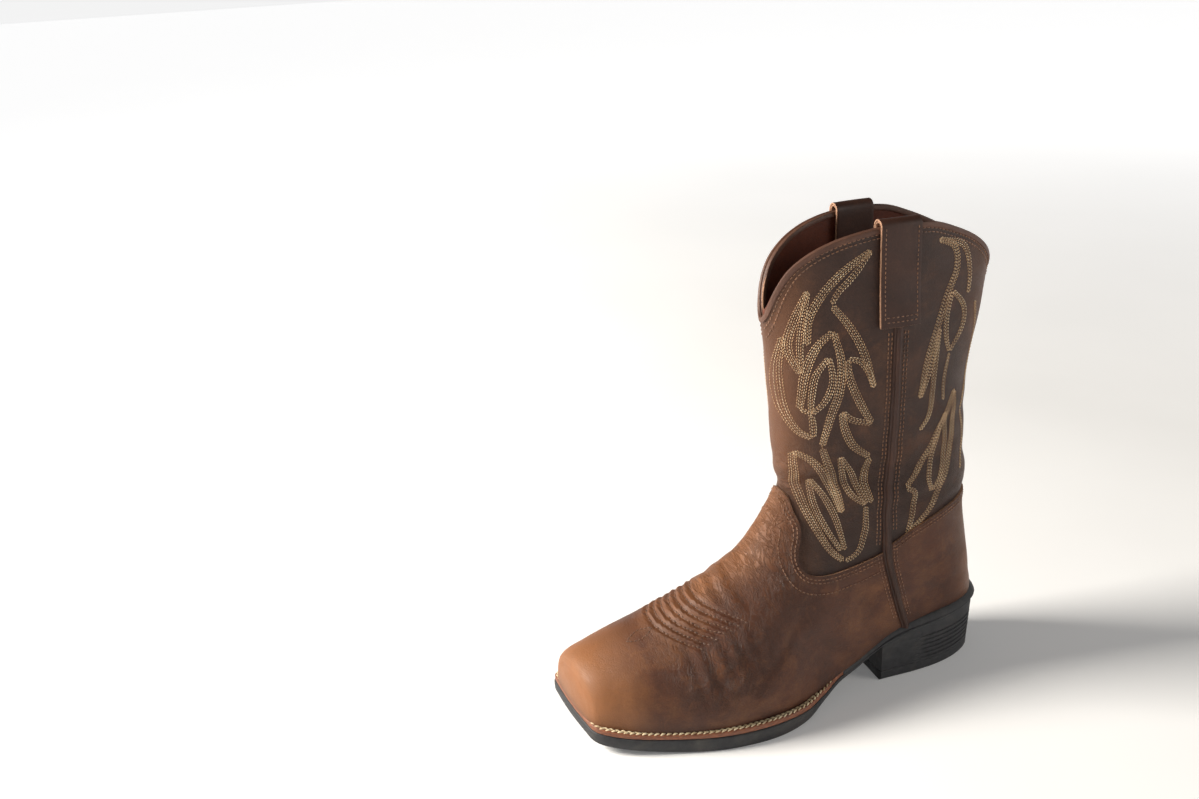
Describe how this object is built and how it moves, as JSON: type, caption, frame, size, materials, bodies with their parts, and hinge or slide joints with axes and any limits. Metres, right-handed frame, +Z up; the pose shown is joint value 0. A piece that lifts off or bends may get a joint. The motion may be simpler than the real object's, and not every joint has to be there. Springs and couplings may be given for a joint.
{
  "type": "western boot",
  "caption": "Left western boot: square-toed foot, stitched pull-on shaft with scalloped top, pull straps, welted rubber sole and block heel.",
  "frame": {"origin": "on the floor, at the middle of the boot's footprint box", "axes": "+Z up, -Y towards the toe, +X towards the little toe (lateral side of a left boot)"},
  "size_m": [0.1118, 0.3014, 0.3227],
  "materials": {
    "sole_rubber": "matt moulded",
    "welt_leather": "waxed edge",
    "welt_thread": "waxed thread",
    "cork": "cork and binder, sealed inside",
    "board": "pressed fibre board",
    "shank_steel": "rolled strip",
    "footbed_foam": "leather-faced foam",
    "foot_leather": "oiled, lightly waxed",
    "shaft_leather": "oiled, matt",
    "lining_leather": "smooth lining",
    "strap_leather": "smooth, cut edges"
  },
  "bodies": {
    "root": {"outsole": "sole_rubber", "heel_rand": "sole_rubber", "heel_block": "sole_rubber", "heel_cap": "sole_rubber", "welt": "welt_leather", "welt_stitching": "welt_thread", "cork_filler": "cork", "insole_board": "board", "shank": "shank_steel", "footbed": "footbed_foam", "vamp": "foot_leather", "counter_cover": "foot_leather", "front_shaft": "shaft_leather", "back_shaft": "shaft_leather", "toe_puff": "board", "heel_stiffener": "board", "vamp_lining": "lining_leather", "counter_lining": "lining_leather", "front_shaft_lining": "lining_leather", "back_shaft_lining": "lining_leather", "side_piping_lateral": "strap_leather", "side_piping_medial": "strap_leather", "pull_strap_lateral": "strap_leather", "pull_strap_medial": "strap_leather"}
  },
  "joints": []
}
